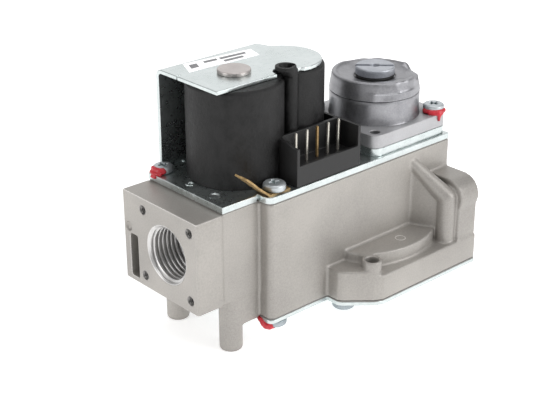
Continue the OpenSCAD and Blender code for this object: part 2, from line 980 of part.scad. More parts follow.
module regulator_cap() {
    slot_w = 1.9;
    slot_depth = 1.1;
    recess_r = 1.8;
    slot_angle = -45;
    color("lightgray")
        datum()
            difference() {
                union() {
                    soft_post(reg, cap_r, 60.42, cap_top, 0.6);
                    post(reg, 6 - running, 56.8, 60.5);
                }
                translate([reg.x, reg.y, 0])
                    rotate(slot_angle)
                        bar([-10, -slot_w / 2, cap_top - slot_depth], [10, slot_w / 2, cap_top + 1]);
                post(reg, recess_r, cap_top - 2.2, cap_top + 1, $fn = 24);
            }
}

// ---------- moving valves ----------

module plunger_1() {
    color("gray")
        datum() {
            post(coil_1, plunger_1_r, 30, 58.2);
            post(coil_1, 2.5, partition_z + 4.2, 30.5);
        }
}

module safety_disc() {
    color("silver")
        datum()
            post(coil_1, 9, partition_z + 2.65, partition_z + 4.2);
}

module safety_seal() {
    color("black")
        datum()
            post(coil_1, 8.8, partition_z + seat_h + 0.05, partition_z + 2.65);
}

module plunger_spring_1() {
    color("gray")
        datum()
            spring(coil_1, 6.6, 0.4, 4, partition_z + 4.25, plate_z0);
}

module plunger_2() {
    color("gray")
        datum() {
            post(coil_2, plunger_2_r, 26.9, 60);
            post(coil_2, 4.7, 26.6, 27.4);
        }
}

module servo_seal() {
    color("black")
        datum()
            post(coil_2, 2.6, partition_z + 1.45, 26.6);
}

module plunger_spring_2() {
    color("gray")
        datum()
            spring(coil_2, 4.35, 0.3, 5, 27.45, plate_z0);
}

module main_stem() {
    color("silver")
        datum() {
            post(main_axis, 1.5, -8.9, partition_z + 2);
            post(main_axis, 3, partition_z + 4.2, partition_z + 6);
            post(main_axis, 1.5, partition_z, partition_z + 5);
        }
}

module main_disc() {
    color("silver")
        datum()
            ring(main_axis, 1.5, 9.4, partition_z + 2.65, partition_z + 4.2);
}

module main_seal() {
    color("black")
        datum()
            ring(main_axis, 1.5, 9.4, partition_z + seat_h + 0.05, partition_z + 2.65);
}

module main_spring() {
    color("gray")
        datum()
            spring(main_axis, 5.6, 0.4, 4, partition_z + 4.25, plate_z0);
}

module upper_plate() {
    color("silver")
        datum()
            ring(main_axis, 1.5, 12.5, -7.28, -6.3);
}

module lower_plate() {
    color("silver")
        datum()
            ring(main_axis, 1.5, 12.5, -8.9, -7.92);
}

module main_diaphragm() {
    t = 0.6;
    rim_z = casting_bottom - gasket_t;
    mid_z = -7.9;
    r = diaphragm_r;
    color("black")
        datum()
            translate([main_axis.x, main_axis.y, 0])
                rotate_extrude()
                    polygon([[1.55, mid_z], [13, mid_z], [15, mid_z + 1.4], [16.6, mid_z + 0.6],
                        [17.4, rim_z], [r + 2.3, rim_z], [r + 2.3, rim_z + 1.1], [r - 0.1, rim_z + 1.1],
                        [17.2, mid_z + 1.3], [15, mid_z + 2.1], [12.8, mid_z + t], [1.55, mid_z + t]]);
}

// ---------- what is drawn ----------

valve_body();
top_gasket();
base_plate();
bottom_gasket();
bottom_cover();
inlet_strainer();
coil_housing();
coil_1_bobbin();
coil_1_winding();
coil_2_bobbin();
coil_2_winding();
guide_tube_1();
core_1();
guide_tube_2();
core_2();
yoke_bracket();
sticker();
guide_post();
connector_housing();
connector_blades();
earth_blade();
earth_tab();
earth_screw();
base_plate_screws();
regulator_spacer();
regulator_housing();
regulator_screws();
bottom_screws();
tamper_lacquer();
main_diaphragm();
regulator_diaphragm();
plunger_spring_1();
plunger_spring_2();
main_spring();
regulator_spring();
plunger_1();
safety_disc();
safety_seal();
plunger_2();
servo_seal();
main_stem();
main_disc();
main_seal();
upper_plate();
lower_plate();
regulator_poppet();
regulator_plate();
spring_seat();
adjusting_screw();
cap_seal();
regulator_cap();
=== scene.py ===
"""Gas control valve: finishes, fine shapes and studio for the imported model."""
import json
import math

import bmesh
import bpy
from mathutils import Matrix, Vector, noise

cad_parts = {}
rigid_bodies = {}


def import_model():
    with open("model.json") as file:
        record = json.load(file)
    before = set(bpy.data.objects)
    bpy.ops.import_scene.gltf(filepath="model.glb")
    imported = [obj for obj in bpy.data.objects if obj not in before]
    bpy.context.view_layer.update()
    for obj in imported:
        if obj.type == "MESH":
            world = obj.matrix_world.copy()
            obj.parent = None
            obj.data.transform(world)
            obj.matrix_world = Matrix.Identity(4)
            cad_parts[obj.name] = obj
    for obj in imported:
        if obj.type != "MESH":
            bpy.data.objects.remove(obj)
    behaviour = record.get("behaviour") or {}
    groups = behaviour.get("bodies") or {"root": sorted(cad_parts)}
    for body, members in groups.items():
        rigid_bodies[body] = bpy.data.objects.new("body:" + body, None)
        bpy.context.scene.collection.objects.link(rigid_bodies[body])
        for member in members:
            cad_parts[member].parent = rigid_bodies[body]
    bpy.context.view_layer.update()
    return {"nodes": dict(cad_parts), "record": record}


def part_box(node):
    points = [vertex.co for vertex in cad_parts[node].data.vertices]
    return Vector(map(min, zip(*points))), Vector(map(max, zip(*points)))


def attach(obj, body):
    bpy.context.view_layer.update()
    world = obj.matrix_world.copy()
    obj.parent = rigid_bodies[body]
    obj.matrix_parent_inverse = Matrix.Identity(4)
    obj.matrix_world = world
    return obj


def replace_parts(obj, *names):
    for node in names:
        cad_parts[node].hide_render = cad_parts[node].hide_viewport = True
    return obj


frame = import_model()
NODES = frame["nodes"]
MM = 0.001
UP = Vector((0, 0, 1))

# ---------------------------------------------------------------- places taken from the frame


def low(node):
    return Vector(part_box(node)[0])


def high(node):
    return Vector(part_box(node)[1])


def axis_of(node, z=0.0):
    """Plan centre of a node's box, at height z."""
    mid = (low(node) + high(node)) / 2
    return Vector((mid.x, mid.y, z))


PLATE_TOP = high("base_plate").z
CASTING_END = high("valve_body").x
WALL_FRONT = low("base_plate").y
FOOT_TOP = high("regulator_spacer").z + 5.1 * MM
YOKE_TOP = high("yoke_bracket").z
COVER_LOW = low("bottom_cover").z
REG = axis_of("regulator_cap")
EARTH_SCREW = axis_of("earth_screw")

# ---------------------------------------------------------------- viewpoint

EYE = Vector((-0.2300, -0.3101, 0.1959))
LOOK_AZ = math.radians(-41.69)
LOOK_EL = math.radians(24.51)
ROLL = math.radians(-0.284)
LENS = 85.1


def add_camera():
    cam = bpy.data.cameras.new("camera")
    cam.lens = LENS
    cam.sensor_width = 36.0
    cam.clip_start = 0.01
    cam.dof.use_dof = False
    ob = bpy.data.objects.new("camera", cam)
    bpy.context.collection.objects.link(ob)
    back = Vector((math.sin(LOOK_AZ) * math.cos(LOOK_EL),
                   -math.cos(LOOK_AZ) * math.cos(LOOK_EL),
                   math.sin(LOOK_EL)))
    turn = back.to_track_quat("Z", "Y").to_matrix().to_4x4()
    ob.matrix_world = Matrix.Translation(EYE) @ turn @ Matrix.Rotation(ROLL, 4, "Z")
    bpy.context.scene.camera = ob


# ---------------------------------------------------------------- materials


def add_node(tree, kind, links=(), **values):
    """A node with some inputs set and some linked; keys starting with _ are node properties."""
    node = tree.nodes.new(kind)
    for key, value in values.items():
        if key.startswith("_"):
            setattr(node, key[1:], value)
        else:
            node.inputs[key.replace("_", " ")].default_value = value
    for socket, source in links:
        tree.links.new(source, node.inputs[socket])
    return node


def noise_value(tree, scale, detail=4.0, rough=0.55, stretch=None, twist=0.0):
    where = tree.nodes.new("ShaderNodeTexCoord").outputs["Object"]
    if stretch:
        where = add_node(tree, "ShaderNodeMapping", [("Vector", where)], Scale=stretch).outputs[0]
    return add_node(tree, "ShaderNodeTexNoise", [("Vector", where)], Scale=scale, Detail=detail,
                    Roughness=rough, Distortion=twist).outputs["Fac"]


def ramp(tree, value, stops):
    node = add_node(tree, "ShaderNodeValToRGB", [("Fac", value)])
    ends = node.color_ramp.elements
    ends[0].position, ends[0].color = stops[0][0], (*stops[0][1], 1)
    ends[1].position, ends[1].color = stops[-1][0], (*stops[-1][1], 1)
    for pos, col in stops[1:-1]:
        ends.new(pos).color = (*col, 1)
    return node.outputs["Color"]


def spread(tree, value, from_low, from_high, low_value, high_value):
    return add_node(tree, "ShaderNodeMapRange", [("Value", value)],
                    **{"From Min": from_low, "From Max": from_high,
                       "To Min": low_value, "To Max": high_value}).outputs["Result"]


def mix_values(tree, a, b, share):
    node = add_node(tree, "ShaderNodeMix", _data_type="FLOAT")
    node.inputs["Factor"].default_value = share
    tree.links.new(a, node.inputs["A"])
    tree.links.new(b, node.inputs["B"])
    return node.outputs["Result"]


def tint(tree, base, fac, color, mode="MIX"):
    """base colour blended to a plain colour by fac."""
    node = add_node(tree, "ShaderNodeMix", _data_type="RGBA", _blend_type=mode)
    tree.links.new(fac, node.inputs["Factor"])
    tree.links.new(base, node.inputs[6])
    node.inputs[7].default_value = (*color, 1)
    return node.outputs[2]


def worn_and_highlit_edges(tree, radius_mm):
    """1 near sharp edges and fillets and 0 on open surface, from the angle between true and rounded normals.
    Used as the mask for brighter edges, partly wear and partly painted highlight.
    """
    rounded = add_node(tree, "ShaderNodeBevel", _samples=8, Radius=radius_mm * MM).outputs["Normal"]
    plain = tree.nodes.new("ShaderNodeNewGeometry").outputs["Normal"]
    dot = add_node(tree, "ShaderNodeVectorMath", _operation="DOT_PRODUCT")
    tree.links.new(rounded, dot.inputs[0])
    tree.links.new(plain, dot.inputs[1])
    return spread(tree, dot.outputs["Value"], 0.995, 0.93, 0.0, 1.0)


def shade_in_corners(tree, reach_mm):
    """1 in tight inner corners, 0 in the open. Used as the mask for painted shade in corners."""
    node = add_node(tree, "ShaderNodeAmbientOcclusion", _samples=6, Distance=reach_mm * MM)
    return spread(tree, node.outputs["AO"], 0.75, 0.25, 0.0, 1.0)


def surface(name, dark, light, metallic, rough, blotch=60, grain=900, bump=0.15, depth=0.06,
            stretch=None, coat=0.0, corner_shade=None, wear_and_highlight=None, span=0.16,
            gloss=0.5):
    """Slow blotches between two tones, fine grain in colour, roughness and bump, and where asked
    painted shade darkening the inner corners and brighter edges and fillets, partly wear and partly painted
    highlight. A small span makes the blotches harder."""
    mat = bpy.data.materials.new(name)
    mat.use_nodes = True
    tree = mat.node_tree
    shader = tree.nodes["Principled BSDF"]
    slow = noise_value(tree, blotch, 3.0, 0.5, stretch)
    fine = noise_value(tree, grain, 5.0, 0.65, stretch)
    color = ramp(tree, mix_values(tree, slow, fine, 0.45), [(0.5 - span, dark), (0.5 + span, light)])
    # Edges and fillets lightened: partly wear, partly painted highlight.
    if wear_and_highlight:
        color = tint(tree, color, worn_and_highlit_edges(tree, wear_and_highlight[0]), wear_and_highlight[1])
    # Inner corners darkened by an occlusion mask: painted shade.
    if corner_shade:
        color = tint(tree, color, shade_in_corners(tree, corner_shade[0]), corner_shade[1])
    tree.links.new(color, shader.inputs["Base Color"])
    tree.links.new(spread(tree, mix_values(tree, slow, fine, 0.6), 0.35, 0.65, *rough),
                   shader.inputs["Roughness"])
    shader.inputs["Metallic"].default_value = metallic
    shader.inputs["Coat Weight"].default_value = coat
    shader.inputs["Specular IOR Level"].default_value = gloss
    relief = add_node(tree, "ShaderNodeBump", [("Height", fine)], Strength=bump, Distance=depth * MM)
    tree.links.new(relief.outputs["Normal"], shader.inputs["Normal"])
    return mat


# In the material calls below, a tuple of reach and dark colour paints shade into inner corners, and a tuple of
# radius and light colour lightens edges and fillets, partly as wear and partly as painted highlight.
CAST = surface("cast_aluminium", (0.325, 0.307, 0.288), (0.465, 0.442, 0.412), 0.42, (0.38, 0.52),
               30, 1700, 0.55, 0.05, None, 0.0, (3, (0.27, 0.25, 0.23)), (0.6, (0.80, 0.78, 0.75)),
               0.13)
MACHINED = surface("machined_thread", (0.60, 0.59, 0.58), (0.72, 0.71, 0.70), 0.85, (0.30, 0.42),
                   60, 900, 0.04, 0.02)
# Tapped-hole linings: the machined thread finish darkened, painted shade inside the small holes.
TAPPED_SHADED = surface("tapped_hole", (0.16, 0.155, 0.15), (0.34, 0.33, 0.32), 0.85, (0.30, 0.42), 300, 900,
                 0.04, 0.02)
CAST_PALE = surface("regulator_foot_cast", (0.42, 0.42, 0.43), (0.56, 0.56, 0.575), 0.5, (0.38, 0.52),
                    70, 1700, 0.25, 0.04, None, 0.0, (4, (0.16, 0.16, 0.165)),
                    (0.35, (0.66, 0.66, 0.67)))
CAP_FINISH = surface("cap_finish", (0.36, 0.38, 0.42), (0.56, 0.58, 0.62), 0.85, (0.34, 0.48), 160, 1500,
                     0.15, 0.03, None, 0.0, (1.5, (0.10, 0.13, 0.16)))
# Screws on the underside: a darker copy of the screw finish, painted shade on the faces turned down.
SCREW_UNDER_PAINTED_SHADE = surface("zinc_screw_under", (0.24, 0.27, 0.29), (0.46, 0.51, 0.54), 0.85, (0.30, 0.44), 300,
                      1500, 0.12, 0.03, None, 0.0, (1.5, (0.05, 0.13, 0.13)))
MATS = {
    "cast_aluminium": CAST,
    "regulator_cast": surface("regulator_cast", (0.25, 0.25, 0.265), (0.42, 0.42, 0.44), 0.8,
                              (0.30, 0.46), 140, 1500, 0.3, 0.05, None, 0.0, (4, (0.16, 0.16, 0.17)),
                              (0.35, (0.54, 0.55, 0.58))),
    "zinc_plate": surface("zinc_plate", (0.56, 0.615, 0.61), (0.72, 0.765, 0.765), 0.96, (0.24, 0.36),
                          70, 500, 0.02, 0.02, None, 0.0, None, (0.25, (0.80, 0.84, 0.84)), 0.13),
    "zinc_screw": surface("zinc_screw", (0.48, 0.52, 0.54), (0.68, 0.71, 0.73), 0.8, (0.38, 0.54),
                          300, 1500, 0.12, 0.03, None, 0.0, (1.5, (0.05, 0.13, 0.13))),
    "stud_steel": surface("stud_steel", (0.46, 0.42, 0.405), (0.62, 0.58, 0.56), 0.8, (0.34, 0.48),
                          150, 1200, 0.15, 0.04, None, 0.0, None, (0.3, (0.7, 0.67, 0.65))),
    "steel": surface("steel", (0.5, 0.5, 0.52), (0.65, 0.65, 0.67), 0.95, (0.25, 0.4)),
    "spring_steel": surface("spring_steel", (0.35, 0.36, 0.38), (0.5, 0.5, 0.52), 0.95, (0.25, 0.4)),
    "black_moulding": surface("black_moulding", (0.0025, 0.0025, 0.0026), (0.016, 0.0157, 0.016), 0.0,
                              (0.40, 0.66), 260, 1000, 1.0, 0.2, (1, 1, 0.7), 0.0, None,
                              (0.3, (0.028, 0.028, 0.028)), 0.1, 0.36),
    "black_connector": surface("black_connector", (0.006, 0.006, 0.0062), (0.015, 0.015, 0.0155), 0.0,
                               (0.38, 0.52), 90, 1400, 0.15, 0.03, None, 0.0, None,
                               (0.3, (0.05, 0.05, 0.05))),
    "cream_plastic": surface("cream_plastic", (0.6, 0.55, 0.42), (0.72, 0.68, 0.56), 0.0, (0.4, 0.5)),
    "copper_wire": surface("copper_wire", (0.5, 0.22, 0.1), (0.72, 0.36, 0.2), 0.8, (0.3, 0.4),
                           60, 900, 0.2, 0.06, (0.05, 0.05, 4.0)),
    "tinned_blade": surface("tinned_blade", (0.60, 0.57, 0.50), (0.74, 0.71, 0.64), 0.8, (0.3, 0.4),
                            60, 900, 0.02, 0.01),
    "brass": surface("brass", (0.26, 0.16, 0.06), (0.60, 0.42, 0.20), 0.6, (0.34, 0.52), 420, 1400,
                     0.4, 0.06, None, 0.0, (2, (0.10, 0.06, 0.03))),
    "rubber": surface("rubber", (0.015, 0.015, 0.015), (0.03, 0.03, 0.03), 0.0, (0.6, 0.75)),
    "gasket": surface("gasket", (0.20, 0.195, 0.185), (0.30, 0.29, 0.275), 0.0, (0.7, 0.85)),
    "red_lacquer": surface("red_lacquer", (0.40, 0.008, 0.016), (0.72, 0.025, 0.045), 0.0, (0.28, 0.46),
                           350, 1200, 0.2, 0.05, None, 0.25),
    "sticker": surface("sticker", (0.93, 0.93, 0.94), (0.97, 0.97, 0.97), 0.0, (0.3, 0.45), 60, 900,
                       0.05),
}
# The label glows a little though it is no lamp: painted light keeping the paper white.
PAPER_GLOW = 0.3
glow = MATS["sticker"].node_tree.nodes["Principled BSDF"].inputs
glow["Emission Color"].default_value = (1, 1, 1, 1)
glow["Emission Strength"].default_value = PAPER_GLOW
INK = surface("label_ink", (0.16, 0.16, 0.17), (0.28, 0.28, 0.29), 0.0, (0.4, 0.55))


def dress_nodes():
    slots = {s["node"]: s["material_slot"] for s in frame["record"]["subparts"]}
    for name, ob in NODES.items():
        ob.data.materials.clear()
        ob.data.materials.append(MATS[slots[name]])
    return slots


SLOTS = dress_nodes()

# ---------------------------------------------------------------- mesh helpers


def evaluated_mesh(ob):
    graph = bpy.context.evaluated_depsgraph_get()
    return bpy.data.meshes.new_from_object(ob.evaluated_get(graph))


def link(name, mesh):
    ob = bpy.data.objects.new(name, mesh)
    bpy.context.collection.objects.link(ob)
    return ob


def finish_piece(ob, slot, body="valve", mat=None, angle=35):
    mesh = ob.data
    mesh.materials.clear()
    mesh.materials.append(mat or MATS[slot])
    mesh.polygons.foreach_set("use_smooth", [True] * len(mesh.polygons))
    mesh.set_sharp_from_angle(angle=math.radians(angle))
    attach(ob, body)
    return ob


def modify(ob, kind, **values):
    mod = ob.modifiers.new(kind.lower(), kind)
    for key, value in values.items():
        setattr(mod, key, value)
    return mod


def apply_modifiers(ob):
    mesh = evaluated_mesh(ob)
    ob.modifiers.clear()
    old = ob.data
    ob.data = mesh
    bpy.data.meshes.remove(old)


def welded_copy(node, name):
    """A new object with the CAD node's own surface, its corners joined."""
    bm = bmesh.new()
    bm.from_mesh(NODES[node].data)
    bmesh.ops.remove_doubles(bm, verts=bm.verts, dist=1e-6)
    bmesh.ops.dissolve_limit(bm, angle_limit=math.radians(0.4), verts=bm.verts, edges=bm.edges)
    mesh = bpy.data.meshes.new(name)
    bm.to_mesh(mesh)
    bm.free()
    if "custom_normal" in mesh.attributes:
        mesh.attributes.remove(mesh.attributes["custom_normal"])
    return link(name, mesh)


def softened(node, width, segments=2, angle=30, mat=None):
    """Stands for a CAD node with its sharp edges broken by width millimetres."""
    ob = welded_copy(node, node + "_fine")
    modify(ob, "BEVEL", width=width * MM, segments=segments, limit_method="ANGLE",
           angle_limit=math.radians(angle), use_clamp_overlap=False)
    apply_modifiers(ob)
    finish_piece(ob, SLOTS[node], NODES[node].parent.name.split(":")[-1], mat, 50)
    modify(ob, "WEIGHTED_NORMAL", keep_sharp=True, weight=80)
    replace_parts(ob, node)
    return ob


def skin(name, rings, slot, body="valve", mat=None, angle=35, loop=False):
    """A surface through closed rings of points, capped at both ends or joined end to end."""
    count = len(rings[0])
    verts = [p for ring in rings for p in ring]
    faces = []
    rows = len(rings) if loop else len(rings) - 1
    for i in range(rows):
        a, b = i * count, (i + 1) % len(rings) * count
        for j in range(count):
            k = (j + 1) % count
            faces.append((a + j, a + k, b + k, b + j))
    if not loop:
        faces.append(tuple(reversed(range(count))))
        faces.append(tuple(range((len(rings) - 1) * count, len(rings) * count)))
    mesh = bpy.data.meshes.new(name)
    mesh.from_pydata(verts, [], faces)
    mesh.validate()
    ob = link(name, mesh)
    bm = bmesh.new()
    bm.from_mesh(mesh)
    bmesh.ops.recalc_face_normals(bm, faces=bm.faces)
    bm.to_mesh(mesh)
    bm.free()
    return finish_piece(ob, slot, body, mat, angle)


def turned(name, stations, count, origin, up, slot, shape=None, **more):
    """A turned piece: stations are (radius, height) in millimetres along up from origin. shape may
    move a point, given its radius, height and angle."""
    up = Vector(up).normalized()
    side = up.cross(Vector((0, 1, 0)) if abs(up.y) < 0.9 else Vector((1, 0, 0))).normalized()
    other = up.cross(side)
    rings = []
    for r, h in stations:
        ring = []
        for j in range(count):
            a = 2 * math.pi * j / count
            q, g = shape(r, h, a) if shape else (r, h)
            ring.append(Vector(origin) + MM * (up * g + (side * math.cos(a) + other * math.sin(a)) * q))
        rings.append(ring)
    return skin(name, rings, slot, **more)


def smoothstep(x, a, b):
    t = min(max((x - a) / (b - a), 0.0), 1.0)
    return t * t * (3 - 2 * t)


def rounded_corner(r, h, edge, steps=5):
    """Stations round an outer top edge, from the top inwards out to the side."""
    return [(r - edge + edge * math.sin(math.pi / 2 * i / steps),
             h - edge + edge * math.cos(math.pi / 2 * i / steps)) for i in range(steps + 1)]


# ---------------------------------------------------------------- casting

PORT_ROOT = 10.48
PORT_CREST = 9.32
PORT_PITCH = 1.814
PORT_LEAD = 0.28
PORT_LEN = 14.6
TAP_CREST = 1.38
TAP_PITCH = 0.7
TAP_LEN = 7.0
BOLT_SPAN = 18 * math.cos(math.radians(45))
BODY_FACES = 190000


def cone_cutter(mouth, inward, r, lead):
    bm = bmesh.new()
    bmesh.ops.create_cone(bm, segments=96, cap_ends=True, radius1=(r + 2 * lead) * MM,
                          radius2=r * MM, depth=2 * lead * MM)
    mesh = bpy.data.meshes.new("cutter")
    bm.to_mesh(mesh)
    bm.free()
    ob = link("cutter", mesh)
    ob.matrix_world = Matrix.Translation(mouth) @ Vector(inward).to_track_quat("Z", "Y").to_matrix().to_4x4()
    return ob


def casting():
    """The casting with lead-in cones at both ports and every edge and corner rounded as cast."""
    ob = welded_copy("valve_body", "casting")
    cutters = [cone_cutter(Vector((0, 0, 0)), (1, 0, 0), PORT_ROOT, PORT_LEAD),
               cone_cutter(Vector((CASTING_END, 0, 0)), (-1, 0, 0), PORT_ROOT, PORT_LEAD)]
    for cutter in cutters:
        modify(ob, "BOOLEAN", operation="DIFFERENCE", solver="EXACT", object=cutter)
    modify(ob, "REMESH", mode="VOXEL", voxel_size=0.45 * MM)
    modify(ob, "SMOOTH", factor=0.5, iterations=4)
    apply_modifiers(ob)
    for cutter in cutters:
        bpy.data.objects.remove(cutter)
    modify(ob, "DECIMATE", ratio=min(1.0, BODY_FACES / (2 * len(ob.data.polygons))))
    apply_modifiers(ob)
    finish_piece(ob, "cast_aluminium", angle=60)
    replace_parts(ob, "valve_body")
    return ob


def thread(name, mouth, inward, root, crest, pitch, lead, length, count, per_turn, mat):
    """A lining for a tapped hole that carries the helical ridges, cut back by the lead-in cone."""
    shell = 0.12
    lift = 0.05

    def inner(s, a):
        phase = (s / pitch - a / (2 * math.pi)) % 1.0
        ridge = smoothstep(1 - abs(2 * phase - 1), 0.12, 0.88)
        fade = 1 - smoothstep(s, length - pitch, length)
        r = root - lift - (root - crest) * ridge * fade
        return max(r, root + lead - lift - s)

    steps = int(length / pitch * per_turn)
    stations = [(0.0, 0.06 + (length - 0.06) * i / steps) for i in range(steps + 1)]
    outer = [(max(root, root + lead - s) + shell, s) for s in (length, 2 * lead, lead, 0.5 * lead, 0.06)]

    def shape(r, h, a):
        return (inner(h, a), h) if r == 0.0 else (r, h)

    return turned(name, stations + outer, count, mouth, inward, "cast_aluminium", shape, loop=True,
                  mat=mat, angle=60)


def threads():
    for tag, x, inward, root in (("inlet", 0.0, (1, 0, 0), 1.65), ("outlet", CASTING_END, (-1, 0, 0), 1.85)):
        thread(tag + "_thread", Vector((x, 0, 0)), inward, PORT_ROOT, PORT_CREST, PORT_PITCH,
               PORT_LEAD, PORT_LEN, 128, 18, MACHINED)
        for i, (sy, sz) in enumerate(((-1, -1), (-1, 1), (1, -1), (1, 1))):
            mouth = Vector((x, sy * BOLT_SPAN * MM, sz * BOLT_SPAN * MM))
            thread("%s_tap_%d" % (tag, i + 1), mouth, inward, root, TAP_CREST, TAP_PITCH, 0.2, TAP_LEN,
                   36, 9, TAPPED_SHADED)


def hoop(name, centre, radius, wire, slot, squash=1.0):
    """A small ring lying on a flat surface."""
    rings = []
    for j in range(48):
        a = 2 * math.pi * j / 48
        ring = []
        for k in range(10):
            b = 2 * math.pi * k / 10
            q = radius + wire * math.cos(b)
            ring.append(centre + MM * Vector((q * math.cos(a), q * math.sin(a), squash * wire * math.sin(b))))
        rings.append(ring)
    return skin(name, rings, slot, loop=True, angle=80)


def casting_marks():
    platform = high("base_plate").z - 31.9 * MM
    hoop("ejector_mark", Vector((87.3 * MM, WALL_FRONT - 6.1 * MM, platform)), 1.9, 0.16,
         "cast_aluminium", 0.6)


# ---------------------------------------------------------------- plates


def plate_marks():
    left = low("base_plate").x + 4.6 * MM
    mid = WALL_FRONT + 5.4 * MM
    hoop("vent_eyelet", Vector((left, mid + 22.9 * MM, PLATE_TOP + 0.02 * MM)), 1.4, 0.34, "zinc_plate",
         0.7)
    dish = [(0.05, -0.75), (0.7, -0.7), (1.3, -0.5), (1.8, -0.2), (2.1, -0.02), (2.3, 0.06), (2.5, 0.02),
            (2.5, -0.1), (0.05, -0.79)]
    turned("pressed_dimple", dish, 48, Vector((left, mid + 9.8 * MM, PLATE_TOP)), UP, "zinc_plate")


# ---------------------------------------------------------------- screws


def pan_head(name, place, up, radius, height, shank, turn=0.0, mat=None):
    """A pan head with a cross recess, and its plain shank."""
    arm = 0.52 * radius
    half = 0.13 * radius
    deep = 0.42 * height

    def shape(r, h, a):
        if h < 0.6 * height or r > 0.8 * radius:
            return r, h
        x, y = abs(r * math.cos(a + turn)), abs(r * math.sin(a + turn))
        across, along = min(x, y), max(x, y)
        cut = (1 - smoothstep(across, 0.7 * half, 1.35 * half)) * (1 - smoothstep(along, 0.75 * arm, arm))
        middle = 1 - smoothstep(r, 0.2 * radius, 0.3 * radius)
        return r, h - deep * max(cut, middle)

    crown = [(radius * (0.01 + 0.75 * i / 22), height - 0.16 * (i / 22) ** 2) for i in range(23)]
    edge = [(r, h - 0.16) for r, h in rounded_corner(radius, height, 0.24 * radius)]
    side = [(radius, 0.35), (0.97 * radius, 0.1), (0.9 * radius, 0.02), (1.6, 0.0), (1.6, -0.9 * shank),
            (1.1, -shank)]
    return turned(name, crown + edge + side, 84, place, up, "zinc_screw", shape, mat=mat,
                  angle=40)


def screws():
    earth = Vector((EARTH_SCREW.x, EARTH_SCREW.y, PLATE_TOP + 0.6 * MM))
    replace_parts(pan_head("earth_screw_fine", earth, UP, 4.0, 2.7, 9, 0.35), "earth_screw")
    spots = plan_spots("base_plate_screws", 2)
    heads = [pan_head("plate_screw_%d" % (i + 1), Vector((*p, PLATE_TOP)), UP, 3.6, 2.7, 9, 0.2 + i)
             for i, p in enumerate(spots)]
    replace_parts(heads[0], "base_plate_screws")
    spots = plan_spots("regulator_screws", 2)
    heads = [pan_head("regulator_screw_%d" % (i + 1), Vector((*p, FOOT_TOP)), UP, 4.0, 3.4, 17, 0.6 + i)
             for i, p in enumerate(spots)]
    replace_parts(heads[0], "regulator_screws")
    spots = plan_spots("bottom_screws", 6)
    heads = [pan_head("bottom_screw_%d" % (i + 1), Vector((*p, COVER_LOW)), -UP, 4.2, 2.7, 8, 0.3 * i,
                      SCREW_UNDER_PAINTED_SHADE)
             for i, p in enumerate(spots)]
    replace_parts(heads[0], "bottom_screws")


def plan_spots(node, count):
    """Plan centres of the separate solids in a node that holds several of the same fastener."""
    bm = bmesh.new()
    bm.from_mesh(NODES[node].data)
    bmesh.ops.remove_doubles(bm, verts=bm.verts, dist=1e-6)
    left = set(bm.verts)
    spots = []
    while left:
        todo = [left.pop()]
        island = []
        while todo:
            v = todo.pop()
            island.append(v.co.copy())
            for e in v.link_edges:
                w = e.other_vert(v)
                if w in left:
                    left.remove(w)
                    todo.append(w)
        xs = [c.x for c in island]
        ys = [c.y for c in island]
        spots.append(((min(xs) + max(xs)) / 2, (min(ys) + max(ys)) / 2))
    bm.free()
    if len(spots) != count:
        raise RuntimeError("%s holds %d solids" % (node, len(spots)))
    return sorted(spots)


# ---------------------------------------------------------------- lacquer


def lump(name, balls):
    """Liquid red lacquer: balls of (place, radius in mm, flattening) melted into one skin."""
    bm = bmesh.new()
    for place, radius, flat in balls:
        made = bmesh.ops.create_icosphere(bm, subdivisions=3, radius=radius * MM)
        for v in made["verts"]:
            v.co.z *= flat
            v.co += Vector(place)
            v.co += noise.noise_vector(v.co * 900) * 0.00018
    mesh = bpy.data.meshes.new(name)
    bm.to_mesh(mesh)
    bm.free()
    ob = link(name, mesh)
    modify(ob, "REMESH", mode="VOXEL", voxel_size=0.2 * MM)
    modify(ob, "SMOOTH", factor=0.5, iterations=8)
    apply_modifiers(ob)
    return finish_piece(ob, "red_lacquer", angle=80)


def round_head(centre, z, radius, angles, size, flat=0.8):
    """Balls round a screw head, at plan angles in degrees."""
    return [(Vector((centre[0] + radius * MM * math.cos(math.radians(a)),
                     centre[1] + radius * MM * math.sin(math.radians(a)), z)), size, flat) for a in angles]


def lacquer():
    left = plan_spots("base_plate_screws", 2)[0]
    z = PLATE_TOP
    dab = lump("lacquer_plate",
               round_head(left, z + 1.3 * MM, 3.3, range(150, 236, 14), 1.05, 1.2)
               + round_head(left, z + 0.5 * MM, 4.2, range(158, 220, 12), 0.9)
               + round_head(left, z - 0.7 * MM, 4.7, range(176, 206, 10), 0.8))
    right = plan_spots("regulator_screws", 2)[1]
    z = FOOT_TOP
    drip = [(Vector((right[0] - 1.4 * MM, right[1] - 4.2 * MM, z - k * 0.7 * MM)), 0.9 - 0.1 * k, 1.0)
            for k in range(4)]
    lump("lacquer_regulator", round_head(right, z + 0.9 * MM, 3.9, range(165, 301, 12), 0.9, 1.1)
         + round_head(right, z + 0.3 * MM, 4.3, range(205, 270, 12), 0.8) + drip)
    under = plan_spots("bottom_screws", 6)[0]
    smear = [((-5.6, 2.7, 1.0), 0.8), ((-5.6, 1.6, 0.4), 1.0), ((-5.2, 0.9, -0.3), 1.2),
             ((-4.8, 0.2, -0.9), 1.6), ((-4.3, -0.4, -1.4), 1.8), ((-3.5, -1.1, -1.8), 1.6),
             ((-2.5, -1.6, -2.2), 1.0), ((-3.9, 1.4, -1.8), 1.1)]
    lump("lacquer_cover", [(Vector((*under, COVER_LOW)) + MM * Vector(at), size, 1.0)
                           for at, size in smear])
    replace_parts(dab, "tamper_lacquer")


# ---------------------------------------------------------------- regulator


def window(angle, start, end, soft=14):
    """1 between two plan angles in degrees, falling to 0 over soft degrees outside."""
    mid = (start + end) / 2
    half = (end - start) / 2
    away = abs((angle - mid + 180) % 360 - 180)
    return 1 - smoothstep(away, half, half + soft)


